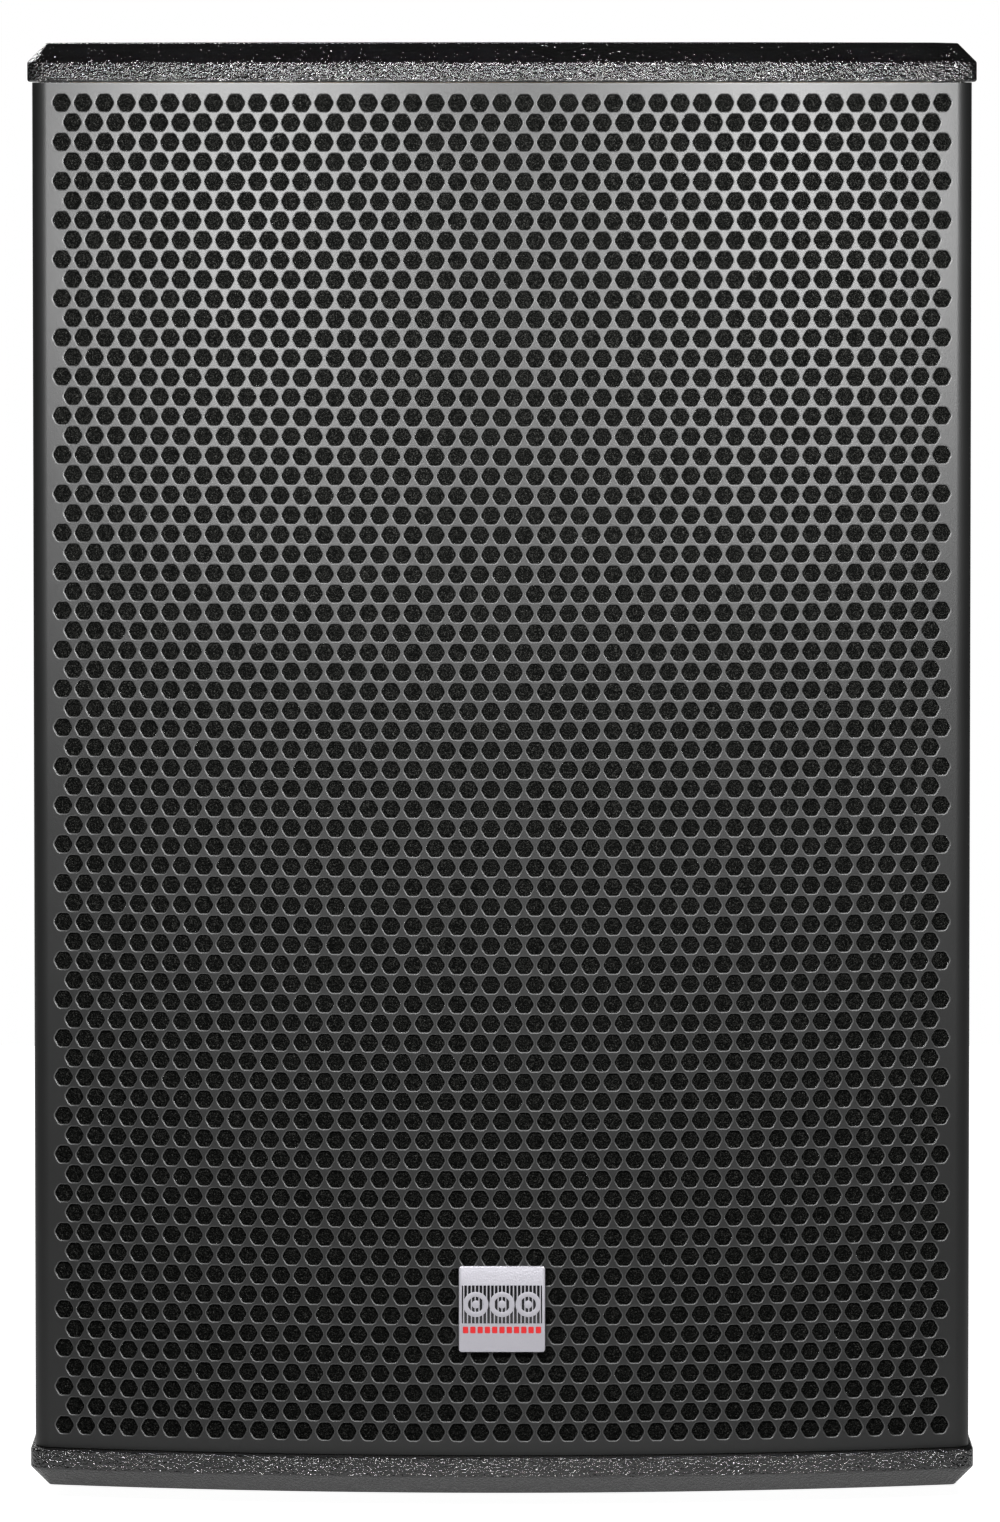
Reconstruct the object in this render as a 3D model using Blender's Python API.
"""A two-way passive loudspeaker cabinet for stage use, as separate named pieces.

Metres, +Z up. The front faces -Y and the origin is on the floor, under the middle of the bounding box.
Round pieces of a drive unit are turned about the local Z of an empty on the unit's axis, whose +Z looks
forwards, out of the cabinet.
"""

import math

import bmesh
import bpy
import numpy as np

# ---- Driving dimensions ----
GAP = 0.0003                    # kept between pieces that touch
FRONT_Y = -0.200                # crown of the top and bottom boards' bowed front edge
REAR_Y = 0.200                  # their rear edge
HALF_WIDTH = 0.214              # half their width
BEND_Y = 0.030                  # where the sides turn in
REAR_HALF_WIDTH = 0.1237        # half their width at the rear edge
BOW_RADIUS = 0.917              # of the grille's face; the boards' front edge is concentric with it
CORNER_R = 0.010
FEET_H = 0.006
GRILLE_SETBACK = 0.005          # of the grille's face behind the boards' front edge
CAP_T = 0.0175                  # top and bottom boards
CAP_CHAMFER = 0.0086
INNER_H = 0.619                 # between the top and bottom boards
WALL_T = 0.015                  # side, quarter and rear boards
OVERHANG = 0.0037               # of the top and bottom boards past the walls

FLOOR_Z = FEET_H + CAP_T        # inner face of the bottom board
CEILING_Z = FLOOR_Z + INNER_H   # inner face of the top board
BOW_CENTRE_Y = FRONT_Y + GRILLE_SETBACK + BOW_RADIUS

GRILLE_HALF_W = 0.212
GRILLE_T = 0.0012
GRILLE_BEND_R = 0.0090
FLANGE_END_Y = -0.145
GRILLE_SCREW_Y = -0.152
GRILLE_SCREW_Z = (0.060, 0.333, 0.606)
FOAM_T = 0.006

WALL_X = HALF_WIDTH - OVERHANG  # outer face of the side boards
WALL_FRONT_Y = -0.160
BAFFLE_Y = -0.140               # front face of the baffle
BAFFLE_T = 0.018

WOOFER_Z = 0.2290
WOOFER_CUTOUT_R = 0.1780
HORN_Z = 0.5350
HORN_MOUTH = (0.272, 0.152)
HORN_FLANGE = (0.300, 0.178)
HORN_CUTOUT = (0.282, 0.162)
HORN_DEPTH = 0.130
THROAT_R = 0.0127
PORT_X, PORT_Z = 0.1570, 0.0640
PORT_R = 0.0310
PORT_WALL = 0.0025
PORT_LENGTH = 0.110

HANDLE_Y, HANDLE_Z = -0.0525, 0.4400
HANDLE_FLANGE = (0.150, 0.112)
HANDLE_CUP = (0.126, 0.088)
HANDLE_DEPTH = 0.058
HANDLE_WALL = 0.0025
HANDLE_BAR_R = 0.0095
HANDLE_BAR_IN = 0.0175          # from the board's face to the bar's axis

DISH_Z = 0.1650
DISH_FLANGE = (0.130, 0.092)
DISH_CUP = (0.100, 0.062)
DISH_DEPTH = 0.022
DISH_WALL = 0.0030
SOCKET_X = 0.0240
SOCKET_R = 0.0150
SOCKET_BODY_R = 0.0130

POLE_Y = -0.010
POLE_BORE_R = 0.0178
POLE_DEPTH = 0.078
POLE_WALL = 0.004
FOOT_PLACES = ((-0.168, -0.118), (0.168, -0.118), (-0.090, 0.165), (0.090, 0.165))
FOOT_R = 0.017
INSERT_BORE_R = 0.0043
INSERT_R = 0.0072
INSERT_FLANGE_R = 0.0115
INSERT_FLANGE_T = 0.0022
TOP_INSERT_PLACES = ((-0.130, 0.010), (0.130, 0.010))
REAR_INSERT_Z = 0.5900
BADGE_SIZE, BADGE_T = 0.0390, 0.0016
BADGE_Z = 0.0903

STEPS = 24                      # round a large turned piece
MIDDLE_STEPS = 16               # round a middling one
SMALL_STEPS = 12                # round a small one

FINISHES = {
    "cabinet_paint": ((0.020, 0.020, 0.021), 0.62, 0.0),
    "raw_plywood": ((0.45, 0.32, 0.19), 0.70, 0.0),
    "grille_paint": ((0.018, 0.019, 0.019), 0.50, 0.6),
    "acoustic_foam": ((0.012, 0.013, 0.012), 0.95, 0.0),
    "badge_metal": ((0.42, 0.43, 0.46), 0.35, 1.0),
    "black_steel": ((0.030, 0.030, 0.032), 0.45, 0.8),
    "plated_steel": ((0.55, 0.54, 0.50), 0.35, 1.0),
    "cast_frame": ((0.050, 0.050, 0.052), 0.50, 0.7),
    "ferrite": ((0.060, 0.058, 0.056), 0.75, 0.0),
    "paper_cone": ((0.030, 0.029, 0.028), 0.85, 0.0),
    "treated_cloth": ((0.035, 0.034, 0.032), 0.80, 0.0),
    "spider_cloth": ((0.42, 0.27, 0.10), 0.90, 0.0),
    "coil_former": ((0.55, 0.30, 0.08), 0.50, 0.2),
    "titanium": ((0.50, 0.49, 0.46), 0.35, 1.0),
    "moulded_plastic": ((0.018, 0.018, 0.019), 0.50, 0.0),
    "rubber": ((0.022, 0.022, 0.022), 0.85, 0.0),
    "circuit_board": ((0.03, 0.11, 0.05), 0.45, 0.0),
    "copper_winding": ((0.62, 0.27, 0.10), 0.35, 0.9),
    "film_capacitor": ((0.50, 0.36, 0.05), 0.40, 0.0),
    "blue_insert": ((0.03, 0.10, 0.30), 0.45, 0.0),
    "lead_red": ((0.25, 0.02, 0.02), 0.55, 0.0),
}


# ---- Making a piece ----
def clear_scene():
    for obj in list(bpy.data.objects):
        bpy.data.objects.remove(obj)


def finish(obj, name):
    """Gives the object a material of its own with the named finish."""
    colour, roughness, metallic = FINISHES[name]
    material = bpy.data.materials.new(f"{obj.name}_{name}")
    material.use_nodes = True
    shader = material.node_tree.nodes["Principled BSDF"]
    shader.inputs["Base Color"].default_value = (*colour, 1.0)
    shader.inputs["Roughness"].default_value = roughness
    shader.inputs["Metallic"].default_value = metallic
    material.diffuse_color = (*colour, 1.0)
    obj.data.materials.append(material)


def piece(name, bm, finish_name, parent=None, location=(0, 0, 0), sharp_deg=35):
    """Turns the bmesh into a named object, smooth except across edges sharper than sharp_deg."""
    bmesh.ops.recalc_face_normals(bm, faces=bm.faces)
    mesh = bpy.data.meshes.new(name)
    bm.to_mesh(mesh)
    bm.free()
    mesh.shade_smooth()
    mesh.set_sharp_from_angle(angle=math.radians(sharp_deg))
    obj = bpy.data.objects.new(name, mesh)
    bpy.context.collection.objects.link(obj)
    obj.location = location
    obj.parent = parent
    finish(obj, finish_name)
    return obj


def axis_empty(name, location, rotation_deg):
    empty = bpy.data.objects.new(name, None)
    empty.location = location
    empty.rotation_euler = [math.radians(angle) for angle in rotation_deg]
    bpy.context.collection.objects.link(empty)
    return empty


def cutter(name, bm, location=(0, 0, 0), parent=None):
    """A hidden solid that a Boolean takes away from, or adds to, a piece."""
    bmesh.ops.recalc_face_normals(bm, faces=bm.faces)
    mesh = bpy.data.meshes.new(name)
    bm.to_mesh(mesh)
    bm.free()
    obj = bpy.data.objects.new(name, mesh)
    bpy.context.collection.objects.link(obj)
    obj.location = location
    obj.parent = parent
    obj.hide_render = True
    obj.display_type = "WIRE"
    return obj


def boolean(obj, tool, operation):
    modifier = obj.modifiers.new(tool.name, "BOOLEAN")
    modifier.object = tool
    modifier.operation = operation
    modifier.solver = "EXACT"


def skin(bm, loops):
    """Quads between neighbouring loops that have the same number of points."""
    for low, high in zip(loops, loops[1:]):
        for i in range(len(low)):
            bm.faces.new((low[i - 1], low[i], high[i], high[i - 1]))


def rim_edges(loop):
    edges = []
    for i in range(len(loop)):
        for edge in loop[i].link_edges:
            if edge.other_vert(loop[i]) is loop[i - 1]:
                edges.append(edge)
    return edges


def loft(bm, outer, holes=(), closed=False):
    """Skins a stack of loops. The ends are capped, round the ends of the holes, or joined if closed."""
    stacks = [[[bm.verts.new(point) for point in loop] for loop in stack] for stack in (outer, *holes)]
    for stack in stacks:
        skin(bm, stack)
    if closed:
        skin(bm, [stacks[0][-1], stacks[0][0]])
        return
    for end in (0, -1):
        edges = [edge for stack in stacks for edge in rim_edges(stack[end])]
        bmesh.ops.triangle_fill(bm, edges=edges, use_beauty=True)


def lofted(name, finish_name, outer, holes=(), closed=False, **options):
    bm = bmesh.new()
    loft(bm, outer, holes, closed)
    return piece(name, bm, finish_name, **options)


def turn(bm, profile, steps):
    """Turns a profile of (radius, height) about Z; one that starts and ends on the axis isn't closed up."""
    verts = [bm.verts.new((radius, 0, height)) for radius, height in profile]
    edges = [bm.edges.new(pair) for pair in zip(verts, verts[1:])]
    if profile[0][0] > 0:
        edges.append(bm.edges.new((verts[-1], verts[0])))
    bmesh.ops.spin(bm, geom=verts + edges, axis=(0, 0, 1), angle=math.tau, steps=steps, use_merge=True)
    bmesh.ops.remove_doubles(bm, verts=bm.verts, dist=1e-5)


def turned(name, finish_name, profile, steps=STEPS, **options):
    bm = bmesh.new()
    turn(bm, profile, steps)
    return piece(name, bm, finish_name, **options)


# ---- Outlines ----
def circle(radius, count, centre=(0.0, 0.0)):
    angle = np.linspace(0, math.tau, count, endpoint=False)
    return np.column_stack((centre[0] + radius * np.cos(angle), centre[1] + radius * np.sin(angle)))


def rounded_rectangle(width, height, radius, centre=(0.0, 0.0), corner_steps=4):
    """Anticlockwise outline with round corners."""
    points = []
    for quarter, (sx, sy) in enumerate(((1, 1), (-1, 1), (-1, -1), (1, -1))):
        middle = (sx * (width / 2 - radius), sy * (height / 2 - radius))
        for step in range(corner_steps + 1):
            angle = math.pi / 2 * (quarter + step / corner_steps)
            points.append((middle[0] + radius * math.cos(angle), middle[1] + radius * math.sin(angle)))
    return np.array(points) + np.array(centre)


def at_x(outline, x):
    return np.column_stack((np.full(len(outline), x), outline))


def at_y(outline, y):
    return np.column_stack((outline[:, 0], np.full(len(outline), y), outline[:, 1]))


def at_z(outline, z):
    return np.column_stack((outline, np.full(len(outline), z)))


def inset(outline, distance):
    """Moves a closed anticlockwise outline inwards, mitred at each point."""
    before = outline - np.roll(outline, 1, axis=0)
    after = np.roll(outline, -1, axis=0) - outline
    inward = [np.column_stack((-edge[:, 1], edge[:, 0])) for edge in (before, after)]
    first, second = (normal / np.linalg.norm(normal, axis=1)[:, None] for normal in inward)
    spread = 1 + (first * second).sum(axis=1)
    return outline + distance * (first + second) / spread[:, None]


def filleted(points, radii, steps=5):
    """Replaces each corner that has a radius with an arc tangent to its two edges."""
    result = []
    for i, radius in enumerate(radii):
        corner, before, after = points[i], points[i - 1], points[(i + 1) % len(points)]
        if radius == 0:
            result.append(corner)
            continue
        back = (before - corner) / np.linalg.norm(before - corner)
        ahead = (after - corner) / np.linalg.norm(after - corner)
        half = math.acos(float(back @ ahead)) / 2
        middle = corner + (back + ahead) / np.linalg.norm(back + ahead) * radius / math.sin(half)
        start = corner + back * radius / math.tan(half) - middle
        sweep = math.pi - 2 * half
        for step in range(steps + 1):
            angle = sweep * step / steps
            turned_start = (
                start[0] * math.cos(angle) - start[1] * math.sin(angle),
                start[0] * math.sin(angle) + start[1] * math.cos(angle),
            )
            result.append(middle + turned_start)
    return np.array(result)


def cap_outline():
    """Plan of the top and bottom boards: bowed front edge, straight sides, splayed rear corners."""
    radius = BOW_CENTRE_Y - FRONT_Y
    reach = math.asin(HALF_WIDTH / radius)
    sweep = np.linspace(-reach, reach, 21)
    front = np.column_stack((radius * np.sin(sweep), BOW_CENTRE_Y - radius * np.cos(sweep)))
    rear = np.array([
        (HALF_WIDTH, BEND_Y), (REAR_HALF_WIDTH, REAR_Y), (-REAR_HALF_WIDTH, REAR_Y), (-HALF_WIDTH, BEND_Y),
    ])
    radii = [CORNER_R] + [0] * (len(front) - 2) + [CORNER_R, 0.030, CORNER_R, CORNER_R, 0.030]
    return filleted(np.vstack((front, rear)), radii)


def wall_lines():
    """Right half of the walls' plan, front to rear: the outer line and the inner one, a wall thickness in."""
    outer = np.array([
        (WALL_X, WALL_FRONT_Y), (WALL_X, BEND_Y), (REAR_HALF_WIDTH - OVERHANG, REAR_Y - OVERHANG),
        (0.0, REAR_Y - OVERHANG),
    ])
    inner = outer.copy()
    edges = np.diff(outer, axis=0)
    normals = np.column_stack((-edges[:, 1], edges[:, 0]))
    normals /= np.linalg.norm(normals, axis=1)[:, None]
    inner[0] += WALL_T * normals[0]
    inner[3] += WALL_T * normals[2]
    for i in (1, 2):
        inner[i] += WALL_T * (normals[i - 1] + normals[i]) / (1 + normals[i - 1] @ normals[i])
    return outer, inner


def grille_line(offset):
    """Plan of the bent sheet's surface, left to right, offset inwards: bow, two bends, two flanges."""
    bend_x = GRILLE_HALF_W - GRILLE_BEND_R
    reach = math.asin(bend_x / (BOW_RADIUS - GRILLE_BEND_R))
    bend_y = BOW_CENTRE_Y - (BOW_RADIUS - GRILLE_BEND_R) * math.cos(reach)
    bow = np.linspace(0, reach, 11)[:-1]
    bend = np.linspace(reach, math.pi / 2, 5)
    face = np.column_stack((
        (BOW_RADIUS - offset) * np.sin(bow), BOW_CENTRE_Y - (BOW_RADIUS - offset) * np.cos(bow),
    ))
    fold = np.column_stack((
        bend_x + (GRILLE_BEND_R - offset) * np.sin(bend), bend_y - (GRILLE_BEND_R - offset) * np.cos(bend),
    ))
    right = np.vstack((face, fold, [(GRILLE_HALF_W - offset, FLANGE_END_Y)]))
    left = right[:0:-1] * (-1, 1)
    return np.vstack((left, right))


# ---- Cabinet ----
def top_board():
    plan = cap_outline()
    face_top = CEILING_Z + CAP_T - CAP_CHAMFER
    top = CEILING_Z + CAP_T
    outer = [at_z(plan, CEILING_Z), at_z(plan, face_top), at_z(inset(plan, CAP_CHAMFER), top)]
    holes = []
    for place in TOP_INSERT_PLACES:
        bore = circle(INSERT_R + GAP, SMALL_STEPS, place)
        recess = circle(INSERT_FLANGE_R + GAP, SMALL_STEPS, place)
        shelf = top - INSERT_FLANGE_T - GAP
        holes.append([at_z(bore, CEILING_Z), at_z(bore, shelf), at_z(recess, shelf), at_z(recess, top)])
    return lofted("top_board", "cabinet_paint", outer, holes)


def bottom_board():
    plan = cap_outline()
    face_bottom = FEET_H + CAP_CHAMFER
    outer = [at_z(inset(plan, CAP_CHAMFER), FEET_H), at_z(plan, face_bottom), at_z(plan, FLOOR_Z)]
    hole = circle(POLE_BORE_R + POLE_WALL + GAP, MIDDLE_STEPS, (0.0, POLE_Y))
    return lofted("bottom_board", "cabinet_paint", outer, [[at_z(hole, FEET_H), at_z(hole, FLOOR_Z)]])


def side_boards():
    outer, inner = wall_lines()
    low, high = FLOOR_Z + GAP, CEILING_Z - GAP
    for name, side in (("side_board_left", -1), ("side_board_right", 1)):
        loops = []
        for x, rear_y in ((inner[0][0], inner[1][1] - GAP / 2), (outer[0][0], outer[1][1] - GAP / 2)):
            rim = np.array([(WALL_FRONT_Y, low), (rear_y, low), (rear_y, high), (WALL_FRONT_Y, high)])
            loops.append(at_x(rim, side * x))
        size = [length + 2 * (HANDLE_WALL + 2 * GAP) for length in HANDLE_CUP]
        openings = [rounded_rectangle(*size, 0.016, (HANDLE_Y, HANDLE_Z))]
        openings += [circle(0.0022, 8, (GRILLE_SCREW_Y, z)) for z in GRILLE_SCREW_Z]
        holes = [[at_x(rim, side * inner[0][0]), at_x(rim, side * outer[0][0])] for rim in openings]
        lofted(name, "cabinet_paint", loops, holes)


def quarter_boards():
    outer, inner = wall_lines()
    along = (outer[2] - outer[1]) / np.linalg.norm(outer[2] - outer[1]) * GAP / 2
    plan = np.array([outer[1] + along, outer[2] - along, inner[2] - along, inner[1] + along])
    for name, side in (("quarter_board_left", -1), ("quarter_board_right", 1)):
        rim = plan * (side, 1)
        lofted(name, "cabinet_paint", [at_z(rim, FLOOR_Z + GAP), at_z(rim, CEILING_Z - GAP)])


def rear_board():
    outer, inner = wall_lines()
    low, high = FLOOR_Z + GAP, CEILING_Z - GAP
    loops = []
    for x, y in ((inner[2][0] - GAP / 2, inner[2][1]), (outer[2][0] - GAP / 2, outer[2][1])):
        loops.append(at_y(np.array([(-x, low), (x, low), (x, high), (-x, high)]), y))
    size = [length + 2 * (DISH_WALL + 2 * GAP) for length in DISH_CUP]
    dish = rounded_rectangle(*size, 0.012, (0.0, DISH_Z))
    bore = circle(INSERT_R + GAP, SMALL_STEPS, (0.0, REAR_INSERT_Z))
    recess = circle(INSERT_FLANGE_R + GAP, SMALL_STEPS, (0.0, REAR_INSERT_Z))
    inside, outside = inner[2][1], outer[2][1]
    shelf = outside - INSERT_FLANGE_T - GAP
    holes = [
        [at_y(dish, inside), at_y(dish, outside)],
        [at_y(bore, inside), at_y(bore, shelf), at_y(recess, shelf), at_y(recess, outside)],
    ]
    return lofted("rear_board", "cabinet_paint", loops, holes)


def baffle():
    half = wall_lines()[1][0][0] - GAP
    low, high = FLOOR_Z + GAP, CEILING_Z - GAP
    rim = np.array([(-half, low), (half, low), (half, high), (-half, high)])
    openings = [
        circle(WOOFER_CUTOUT_R, STEPS, (0.0, WOOFER_Z)),
        rounded_rectangle(*HORN_CUTOUT, 0.020, (0.0, HORN_Z)),
        circle(PORT_R + GAP, MIDDLE_STEPS, (-PORT_X, PORT_Z)),
        circle(PORT_R + GAP, MIDDLE_STEPS, (PORT_X, PORT_Z)),
    ]
    front, back = BAFFLE_Y, BAFFLE_Y + BAFFLE_T
    holes = [[at_y(opening, front), at_y(opening, back)] for opening in openings]
    return lofted("baffle", "cabinet_paint", [at_y(rim, front), at_y(rim, back)], holes)


def brace():
    """A batten from the baffle to the rear board, between the woofer and the horn."""
    rim = np.array([(-0.020, 0.423), (0.020, 0.423), (0.020, 0.441), (-0.020, 0.441)])
    rear = wall_lines()[1][3][1] - GAP
    return lofted("brace", "raw_plywood", [at_y(rim, BAFFLE_Y + BAFFLE_T + GAP), at_y(rim, rear)])


# ---- Front ----
def grille():
    """Bent sheet over the whole front, with a hole in its flanges for each screw."""
    plan = np.vstack((grille_line(0.0), grille_line(GRILLE_T)[::-1]))
    obj = lofted("grille", "grille_paint", [at_z(plan, FLOOR_Z + GAP), at_z(plan, CEILING_Z - GAP)])
    bm = bmesh.new()
    for side in (-1, 1):
        for z in GRILLE_SCREW_Z:
            hole = circle(0.0021, 8, (GRILLE_SCREW_Y, z))
            loft(bm, [at_x(hole, side * (GRILLE_HALF_W - 0.003)), at_x(hole, side * (GRILLE_HALF_W + 0.002))])
    boolean(obj, cutter("grille_screw_holes", bm), "DIFFERENCE")
    return obj


def grille_foam():
    """Foam sheet bonded to the back of the grille's bowed face."""
    reach = math.asin((GRILLE_HALF_W - GRILLE_BEND_R) / (BOW_RADIUS - GRILLE_BEND_R))
    sweep = np.linspace(-reach, reach, 19)
    front = BOW_RADIUS - GRILLE_T - GAP
    lines = []
    for radius in (front, front - FOAM_T):
        lines.append(np.column_stack((radius * np.sin(sweep), BOW_CENTRE_Y - radius * np.cos(sweep))))
    plan = np.vstack((lines[0], lines[1][::-1]))
    low, high = FLOOR_Z + 2 * GAP, CEILING_Z - 2 * GAP
    return lofted("grille_foam", "acoustic_foam", [at_z(plan, low), at_z(plan, high)])


def badge():
    front = FRONT_Y + GRILLE_SETBACK - GAP
    plate = rounded_rectangle(BADGE_SIZE, BADGE_SIZE, 0.0012, (0.0, BADGE_Z))
    face = rounded_rectangle(BADGE_SIZE - 0.0008, BADGE_SIZE - 0.0008, 0.0010, (0.0, BADGE_Z))
    return lofted("badge", "badge_metal", [
        at_y(plate, front), at_y(plate, front - BADGE_T + 0.0004), at_y(face, front - BADGE_T),
    ])


def grille_screws():
    """Low button-head screws through the grille's flanges into the side boards."""
    profile = [
        (0.0, -0.0120), (0.0018, -0.0115), (0.0018, GAP), (0.0036, GAP), (0.0030, 0.0014), (0.0, 0.0017),
    ]
    for side, word in ((-1, "left"), (1, "right")):
        for z, level in zip(GRILLE_SCREW_Z, ("low", "middle", "high")):
            place = (side * GRILLE_HALF_W, GRILLE_SCREW_Y, z)
            empty = axis_empty(f"grille_screw_axis_{word}_{level}", place, (0, side * 90, 0))
            turned(f"grille_screw_{word}_{level}", "black_steel", profile, steps=12, parent=empty)


# ---- Woofer, about its own axis; height 0 is the baffle's front face ----
def woofer_basket(axis):
    profile = [
        (0.1935, 0.0045), (0.1665, 0.0045), (0.1665, -0.0010), (0.1712, -0.0060), (0.1712, -0.0190),
        (0.0925, -0.0715), (0.0800, -0.0715), (0.0800, -0.0745), (0.0860, -0.0745), (0.0860, -0.0870),
        (0.0620, -0.0870), (0.0620, -0.0900), (0.0960, -0.0900), (0.0960, -0.0730), (0.1745, -0.0200),
        (0.1745, 0.0003), (0.1935, 0.0003),
    ]
    obj = turned("woofer_basket", "cast_frame", profile, parent=axis)
    bm = bmesh.new()
    windows = 6
    for window in range(windows):
        middle = math.tau * window / windows
        sweep = np.linspace(middle - 0.36, middle + 0.36, 6)
        ray = np.column_stack((np.cos(sweep), np.sin(sweep)))
        plan = np.vstack((0.162 * ray, 0.104 * ray[::-1]))
        loft(bm, [at_z(plan, -0.0700), at_z(plan, -0.0200)])
    boolean(obj, cutter("basket_windows", bm, parent=axis), "DIFFERENCE")


def woofer_suspension(axis):
    """The gasket, the rolled surround and the corrugated spider."""
    turned("woofer_gasket", "rubber", [
        (0.1925, 0.0065), (0.1925, 0.0095), (0.1680, 0.0095), (0.1670, 0.0085), (0.1670, 0.0065),
    ], parent=axis)
    turned("woofer_surround", "treated_cloth", ribbon(
        [(0.1780, 0.0054), (0.1672, 0.0054), (0.1640, 0.0090), (0.1600, 0.0086), (0.1572, 0.0046),
         (0.1540, 0.0074), (0.1500, 0.0038), (0.1450, 0.0038)], 0.0005,
    ), parent=axis)
    radii = np.linspace(0.0508, 0.0784, 9)
    wave = [(radius, -0.0704 + 0.0020 * math.sin(math.tau * (radius - 0.0508) / 0.0138)) for radius in radii]
    turned("woofer_spider", "spider_cloth", ribbon(wave + [(0.0900, -0.0704)], 0.0004), parent=axis)


def ribbon(line, half_thickness):
    """Closes a profile line into a thin band, half_thickness above and below it."""
    above = [(radius, height + half_thickness) for radius, height in line]
    below = [(radius, height - half_thickness) for radius, height in reversed(line)]
    return above + below


def cone_height(radius):
    """Height of the cone's back at a radius: steep at the neck, shallower at the rim."""
    along = (radius - 0.0503) / (0.1485 - 0.0503)
    return -0.0620 + 0.0640 * along ** 0.80


def woofer_moving_parts(axis):
    radii = np.linspace(0.0503, 0.1485, 6)
    back = [(radius, cone_height(radius)) for radius in radii]
    front = [(radius, height + 0.0011) for radius, height in reversed(back)]
    turned("woofer_cone", "paper_cone", front + back, parent=axis)
    turned("dust_cap", "paper_cone", dome(0.0600, 0.0190, 0.0008, cone_height(0.0600) + 0.0022), parent=axis)
    turned("voice_coil", "coil_former", [
        (0.0500, -0.0605), (0.0500, -0.0975), (0.0510, -0.0975), (0.0510, -0.1125), (0.0492, -0.1125),
        (0.0492, -0.0605),
    ], parent=axis)


def dome(radius, rise, thickness, height):
    """Profile of a domed shell that stands on height."""
    sweep = np.linspace(0, math.pi / 2, 6)
    outside = [(radius * math.sin(t), height + rise * math.cos(t)) for t in sweep]
    bore, ceiling = radius - thickness, rise - thickness
    inside = [(bore * math.sin(t), height + ceiling * math.cos(t)) for t in sweep[::-1]]
    return outside + inside


def woofer_magnet_system(axis):
    """Top plate, ferrite ring, and the yoke with its vented pole."""
    turned("woofer_top_plate", "plated_steel", [
        (0.0880, -0.0903), (0.0522, -0.0903), (0.0522, -0.1003), (0.0880, -0.1003),
    ], parent=axis)
    turned("woofer_magnet", "ferrite", [
        (0.0980, -0.1006), (0.0600, -0.1006), (0.0600, -0.1206), (0.0980, -0.1206),
    ], parent=axis)
    turned("woofer_yoke", "plated_steel", [
        (0.0480, -0.0880), (0.0150, -0.0880), (0.0150, -0.1309), (0.0880, -0.1309), (0.0910, -0.1279),
        (0.0910, -0.1209), (0.0480, -0.1209),
    ], parent=axis)


# ---- High-frequency unit, about its own axis; height 0 is the baffle's front face ----
def horn_section(share, width, height, level, power):
    """One loop of the flare, from a round throat at share 0 to a square-shouldered mouth at share 1."""
    angle = np.linspace(0, math.tau, 28, endpoint=False)
    exponent = 2 / (2 + (power - 2) * share)
    across = np.sign(np.cos(angle)) * np.abs(np.cos(angle)) ** exponent
    up = np.sign(np.sin(angle)) * np.abs(np.sin(angle)) ** exponent
    return np.column_stack((width / 2 * across, height / 2 * up, np.full(len(angle), level)))


def horn(axis):
    """Flare and flange in one moulding: inner wall to the mouth, round the flange, outer wall back."""
    shares = np.linspace(0, 1, 6)
    inner = []
    for share in shares:
        width = 2 * THROAT_R + (HORN_MOUTH[0] - 2 * THROAT_R) * share ** 1.15
        height = 2 * THROAT_R + (HORN_MOUTH[1] - 2 * THROAT_R) * share ** 1.45
        inner.append((share, width, height, -HORN_DEPTH + (HORN_DEPTH + 0.0045) * share))
    wall = 0.0035
    loops = [horn_section(*row, 12) for row in inner]
    loops.append(horn_section(1, *HORN_FLANGE, 0.0045, 24))
    loops.append(horn_section(1, *HORN_FLANGE, GAP, 24))
    loops.append(horn_section(1, HORN_MOUTH[0] + 2 * wall, HORN_MOUTH[1] + 2 * wall, GAP, 12))
    for share, width, height, level in inner[-2::-1]:
        loops.append(horn_section(share, width + 2 * wall, height + 2 * wall, level, 12))
    throat_flange = 2 * THROAT_R + 0.040
    loops[-1][:, 2] += 0.006
    loops.append(horn_section(0, throat_flange, throat_flange, -HORN_DEPTH + 0.006, 12))
    loops.append(horn_section(0, throat_flange, throat_flange, -HORN_DEPTH, 12))
    lofted("horn", "moulded_plastic", loops, closed=True, parent=axis)


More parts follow.
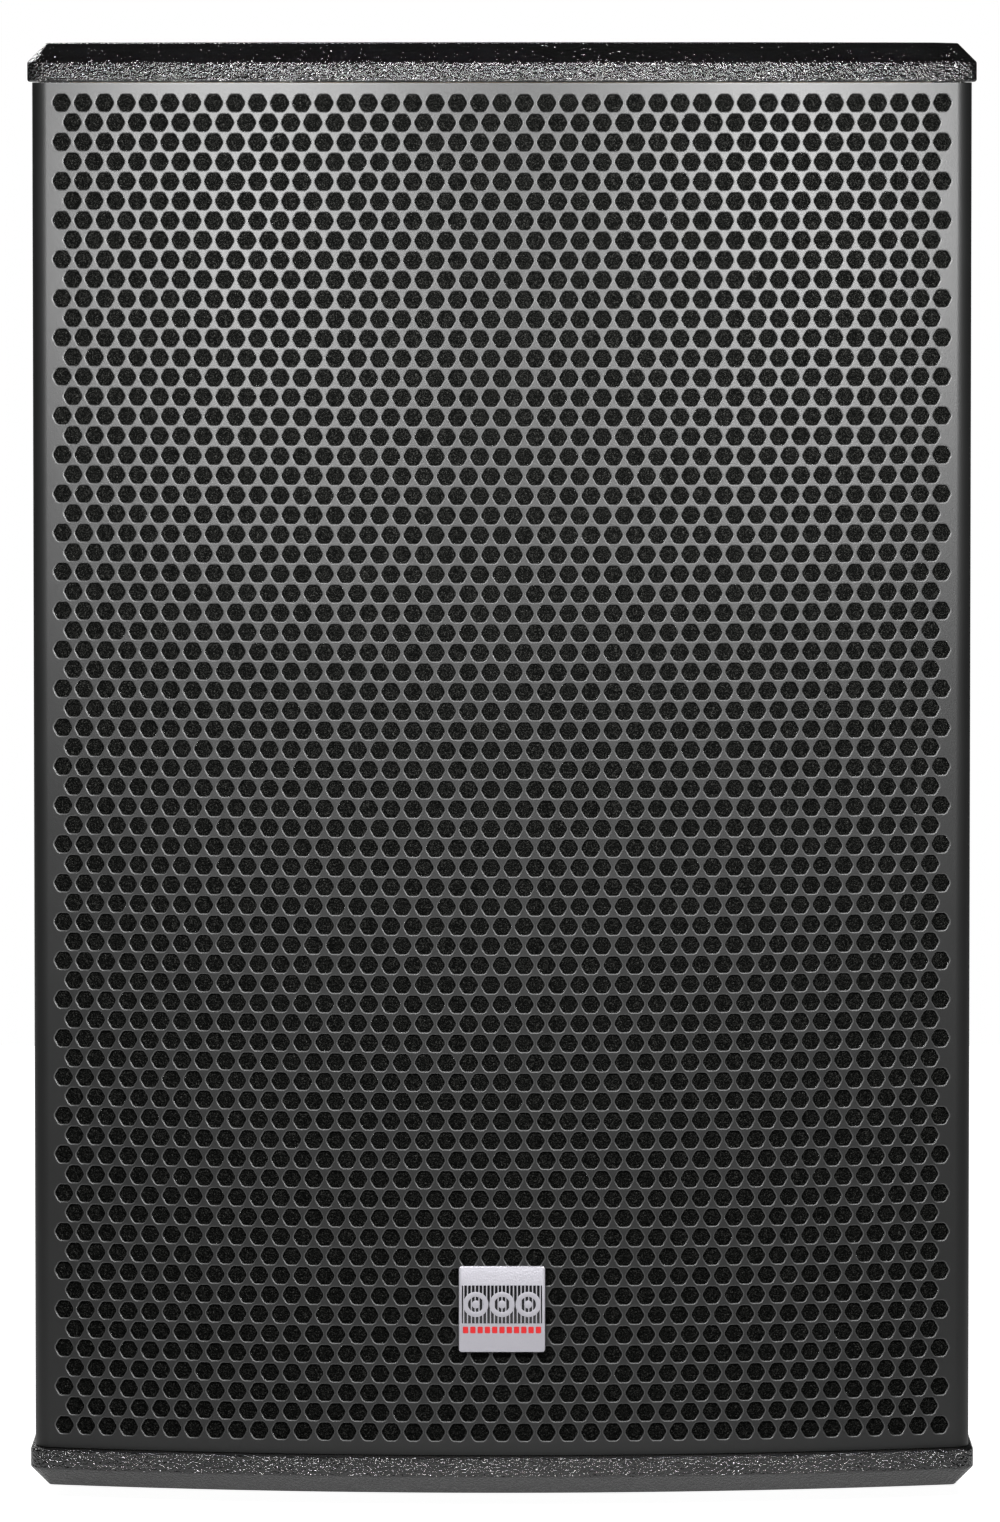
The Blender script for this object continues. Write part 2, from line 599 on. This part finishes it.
def compression_driver(axis):
    """Front to back: yoke with the bored pole, ferrite ring, plate, dome on its ring, and the rear cover."""
    back = -HORN_DEPTH
    turned("driver_yoke", "plated_steel", [
        (0.0430, back - GAP), (THROAT_R, back - GAP), (0.0100, back - 0.0300), (0.0215, back - 0.0300),
        (0.0215, back - 0.0083), (0.0430, back - 0.0083),
    ], steps=MIDDLE_STEPS, parent=axis)
    turned("driver_magnet", "ferrite", [
        (0.0450, back - 0.0086), (0.0270, back - 0.0086), (0.0270, back - 0.0236), (0.0450, back - 0.0236),
    ], steps=MIDDLE_STEPS, parent=axis)
    turned("driver_plate", "plated_steel", [
        (0.0420, back - 0.0239), (0.0236, back - 0.0239), (0.0236, back - 0.0299), (0.0420, back - 0.0299),
    ], steps=MIDDLE_STEPS, parent=axis)
    seat = back - 0.0314
    arc = [(0.0226 * math.sin(t), seat - 0.0060 * math.cos(t)) for t in np.linspace(0, math.pi / 2, 6)]
    under = [(0.0222 * math.sin(t), seat - 0.0056 * math.cos(t)) for t in np.linspace(math.pi / 2, 0, 6)]
    coil = [(0.0226, back - 0.0250), (0.0220, back - 0.0250)]
    shell = arc + coil + [(0.0220, seat)] + under[1:]
    turned("driver_diaphragm", "titanium", shell, steps=MIDDLE_STEPS, parent=axis)
    turned("driver_suspension", "treated_cloth", ribbon(
        [(0.0229, seat - 0.0004), (0.0246, seat - 0.0016), (0.0263, seat - 0.0004), (0.0330, seat - 0.0004)],
        0.0002,
    ), steps=MIDDLE_STEPS, parent=axis)
    turned("driver_cover", "moulded_plastic", [
        (0.0, back - 0.0440), (0.0345, back - 0.0440), (0.0370, back - 0.0410), (0.0370, back - 0.0302),
        (0.0400, back - 0.0302), (0.0400, back - 0.0420), (0.0360, back - 0.0470), (0.0, back - 0.0470),
    ], steps=MIDDLE_STEPS, parent=axis)


# ---- Ports, crossover and leads ----
def port_tubes():
    """Two reflex ports: a tube with a thin flange on the baffle's front."""
    inner = PORT_R - PORT_WALL
    profile = [
        (PORT_R + 0.0030, 0.0005), (PORT_R + 0.0030, 0.0025), (inner + 0.0015, 0.0025), (inner, 0.0),
        (inner, -PORT_LENGTH), (PORT_R, -PORT_LENGTH), (PORT_R, 0.0005),
    ]
    for name, side in (("port_tube_left", -1), ("port_tube_right", 1)):
        empty = axis_empty(f"{name}_axis", (side * PORT_X, BAFFLE_Y, PORT_Z), (90, 0, 0))
        turned(name, "moulded_plastic", profile, steps=MIDDLE_STEPS, parent=empty)


def crossover():
    """Circuit board on four posts, with its two coils and its film capacitor."""
    centre = (0.0, 0.118)
    deck = FLOOR_Z + 0.0080
    plan = rounded_rectangle(0.150, 0.090, 0.003, centre, corner_steps=2)
    board = lofted("crossover_board", "circuit_board", [at_z(plan, deck), at_z(plan, deck + 0.0016)])
    bm = bmesh.new()
    for x in (-0.068, 0.068):
        for y in (-0.038, 0.038):
            post = circle(0.004, 10, (centre[0] + x, centre[1] + y))
            loft(bm, [at_z(post, FLOOR_Z + GAP), at_z(post, deck + 0.0008)])
    boolean(board, cutter("crossover_posts", bm), "UNION")
    top = deck + 0.0016 + GAP
    coils = (
        ("lowpass_coil", (-0.040, 0.125), 0.012, 0.028, 0.024),
        ("highpass_coil", (0.022, 0.138), 0.008, 0.017, 0.016),
    )
    for name, place, bore, radius, height in coils:
        profile = [(radius, 0.0), (radius, height), (bore, height), (bore, 0.0)]
        turned(name, "copper_winding", profile, steps=MIDDLE_STEPS, location=(*place, top))
    empty = axis_empty("capacitor_axis", (0.040, 0.094, top + 0.011), (0, 90, 0))
    turned("crossover_capacitor", "film_capacitor", [
        (0.0, -0.022), (0.0100, -0.022), (0.0110, -0.021), (0.0110, 0.021), (0.0100, 0.022), (0.0, 0.022),
    ], steps=16, parent=empty)


def smooth_route(points, spacing):
    """Hermite curve through the points, heading at each from the one before to the one after."""
    heading = np.vstack((points[1] - points[0], points[2:] - points[:-2], points[-1] - points[-2]))
    heading /= np.linalg.norm(heading, axis=1)[:, None]
    route = []
    for start, end, leave, arrive in zip(points, points[1:], heading, heading[1:]):
        length = np.linalg.norm(end - start)
        t = np.linspace(0, 1, max(2, round(length / spacing)), endpoint=False)[:, None]
        pull = length * (leave * t * (1 - t) ** 2 - arrive * t**2 * (1 - t))
        route.append(start + (end - start) * (3 * t**2 - 2 * t**3) + pull)
    return np.vstack((*route, points[-1:]))


def lead(name, finish_name, points, radius=0.0025):
    """Round insulated lead along its route, with flat ends."""
    route = smooth_route(np.array(points), 0.018)
    curve = bpy.data.curves.new(name, "CURVE")
    curve.dimensions = "3D"
    spline = curve.splines.new("POLY")
    spline.points.add(len(route) - 1)
    for point, place in zip(spline.points, route):
        point.co = (*place, 1.0)
    curve.bevel_depth = radius
    curve.bevel_resolution = 2
    curve.use_fill_caps = True
    obj = bpy.data.objects.new(name, curve)
    bpy.context.collection.objects.link(obj)
    finish(obj, finish_name)


def leads():
    lead("input_lead", "lead_red", [
        (0.024, 0.1534, 0.1650), (0.024, 0.1400, 0.1650), (0.030, 0.1320, 0.1300), (0.044, 0.1340, 0.0850),
        (0.054, 0.1350, 0.0520), (0.054, 0.1350, 0.0336),
    ])
    lead("woofer_lead", "lead_red", [
        (-0.062, 0.0880, 0.0336), (-0.062, 0.0880, 0.0500), (-0.074, 0.0500, 0.0900),
        (-0.100, 0.0000, 0.1250), (-0.120, -0.0420, 0.1500), (-0.124, -0.0620, 0.1560),
    ])
    lead("horn_lead", "lead_red", [
        (0.062, 0.1540, 0.0336), (0.062, 0.1540, 0.0520), (0.056, 0.1480, 0.2000), (0.052, 0.1200, 0.3600),
        (0.050, 0.0800, 0.4600), (0.050, 0.0500, 0.5150), (0.0500, 0.0300, 0.5300), (0.0500, 0.0120, 0.5350),
    ])


# ---- Outside fittings ----
def dish_stack(at, centre, flange, cup, radii, wall, depth, face, inward):
    """Loops of a flanged cup: out round its back, over the flange and down its inside to the floor."""
    outside = rounded_rectangle(cup[0] + 2 * wall, cup[1] + 2 * wall, radii[1] + wall, centre)
    inside = rounded_rectangle(*cup, radii[1], centre)
    floor_out = rounded_rectangle(cup[0] + 2 * wall - 0.004, cup[1] + 2 * wall - 0.004, radii[1], centre)
    floor_in = rounded_rectangle(cup[0] - 0.006, cup[1] - 0.006, radii[1], centre)
    rim = rounded_rectangle(*flange, radii[0], centre)
    rim_top = rounded_rectangle(flange[0] - 0.002, flange[1] - 0.002, radii[0], centre)
    under, top = face - inward * GAP, face - inward * 0.0026
    bottom = face + inward * depth
    return [
        at(floor_out, bottom + inward * wall), at(outside, bottom), at(outside, under), at(rim, under),
        at(rim, top + inward * 0.0008), at(rim_top, top), at(inside, top),
        at(inside, bottom - inward * 0.003), at(floor_in, bottom),
    ]


def handles():
    """A recessed cup in each side board, with a fixed grip bar across it from front to rear."""
    for word, side in (("left", -1), ("right", 1)):
        stack = dish_stack(
            at_x, (HANDLE_Y, HANDLE_Z), HANDLE_FLANGE, HANDLE_CUP, (0.014, 0.014), HANDLE_WALL, HANDLE_DEPTH,
            side * WALL_X, -side,
        )
        lofted(f"handle_cup_{word}", "black_steel", stack)
        half = HANDLE_CUP[0] / 2 - GAP
        place = (side * (WALL_X - HANDLE_BAR_IN), HANDLE_Y, HANDLE_Z)
        empty = axis_empty(f"handle_bar_axis_{word}", place, (90, 0, 0))
        grip = HANDLE_BAR_R
        turned(f"handle_bar_{word}", "rubber", [
            (0.0, -half), (grip - 0.002, -half), (grip - 0.002, -half + 0.010), (grip, -half + 0.013),
            (grip, half - 0.013), (grip - 0.002, half - 0.010), (grip - 0.002, half), (0.0, half),
        ], steps=16, parent=empty)


def input_dish():
    """Recessed steel dish on the rear board, with a hole in its floor for each socket."""
    face = wall_lines()[0][3][1]
    stack = dish_stack(
        at_y, (0.0, DISH_Z), DISH_FLANGE, DISH_CUP, (0.010, 0.010), DISH_WALL, DISH_DEPTH, face, -1,
    )
    floor_out, floor_in = stack[0][0][1], stack[-1][0][1]
    holes = []
    for side in (-1, 1):
        rim = circle(SOCKET_BODY_R + GAP, MIDDLE_STEPS, (side * SOCKET_X, DISH_Z))
        holes.append([at_y(rim, floor_out), at_y(rim, floor_in)])
    lofted("input_dish", "black_steel", stack, holes)


def sockets():
    """Round chassis sockets: a flange on the dish's floor, a ring-shaped well and a middle post."""
    floor = wall_lines()[0][3][1] - DISH_DEPTH
    profile = [
        (0.0, -0.0200), (SOCKET_BODY_R, -0.0200), (SOCKET_BODY_R, GAP), (SOCKET_R, GAP), (SOCKET_R, 0.0030),
        (0.0118, 0.0036), (0.0118, -0.0150), (0.0050, -0.0150), (0.0050, 0.0010), (0.0040, 0.0020),
        (0.0, 0.0020),
    ]
    for name, side in (("input_socket", 1), ("link_socket", -1)):
        empty = axis_empty(f"{name}_axis", (side * SOCKET_X, floor, DISH_Z), (-90, 0, 0))
        turned(name, "blue_insert", profile, steps=MIDDLE_STEPS, parent=empty)


def pole_socket():
    """Blind steel socket for a 35 mm stand pole, with its flange under the bottom board."""
    bore, outside = POLE_BORE_R, POLE_BORE_R + POLE_WALL
    turned("pole_socket", "black_steel", [
        (0.0, POLE_DEPTH + 0.003), (outside, POLE_DEPTH + 0.003), (outside, -GAP), (0.0380, -GAP),
        (0.0370, -0.0030), (bore + 0.001, -0.0030), (bore, -0.0020), (bore, POLE_DEPTH), (0.0, POLE_DEPTH),
    ], steps=MIDDLE_STEPS, location=(0.0, POLE_Y, FEET_H))


def feet():
    """Rubber discs, each in its own place near a corner of the bottom board."""
    profile = [
        (0.0, 0.0), (FOOT_R - 0.003, 0.0), (FOOT_R - 0.001, 0.0012), (FOOT_R, FEET_H - GAP),
        (0.0, FEET_H - GAP),
    ]
    for word, place in zip(("front_left", "front_right", "rear_left", "rear_right"), FOOT_PLACES):
        turned(f"foot_{word}", "rubber", profile, steps=SMALL_STEPS, location=(*place, 0.0))


def rigging_inserts():
    """Flanged threaded inserts, flush with the board, two in the top and one in the rear."""
    profile = [
        (INSERT_FLANGE_R, 0.0), (INSERT_BORE_R + 0.0008, 0.0), (INSERT_BORE_R, -0.0008),
        (INSERT_BORE_R, -0.0170),
        (INSERT_R, -0.0170), (INSERT_R, -INSERT_FLANGE_T), (INSERT_FLANGE_R, -INSERT_FLANGE_T),
    ]
    for word, place in zip(("left", "right"), TOP_INSERT_PLACES):
        top = (*place, CEILING_Z + CAP_T)
        turned(f"top_insert_{word}", "plated_steel", profile, steps=SMALL_STEPS, location=top)
    empty = axis_empty("rear_insert_axis", (0.0, wall_lines()[0][3][1], REAR_INSERT_Z), (-90, 0, 0))
    turned("rear_insert", "plated_steel", profile, steps=SMALL_STEPS, parent=empty)


def main():
    clear_scene()
    top_board()
    bottom_board()
    side_boards()
    quarter_boards()
    rear_board()
    baffle()
    brace()
    grille()
    grille_foam()
    badge()
    grille_screws()
    woofer_axis = axis_empty("woofer_axis", (0.0, BAFFLE_Y, WOOFER_Z), (90, 0, 0))
    woofer_basket(woofer_axis)
    woofer_suspension(woofer_axis)
    woofer_moving_parts(woofer_axis)
    woofer_magnet_system(woofer_axis)
    horn_axis = axis_empty("horn_axis", (0.0, BAFFLE_Y, HORN_Z), (90, 0, 0))
    horn(horn_axis)
    compression_driver(horn_axis)
    port_tubes()
    crossover()
    leads()
    handles()
    input_dish()
    sockets()
    pole_socket()
    feet()
    rigging_inserts()


main()
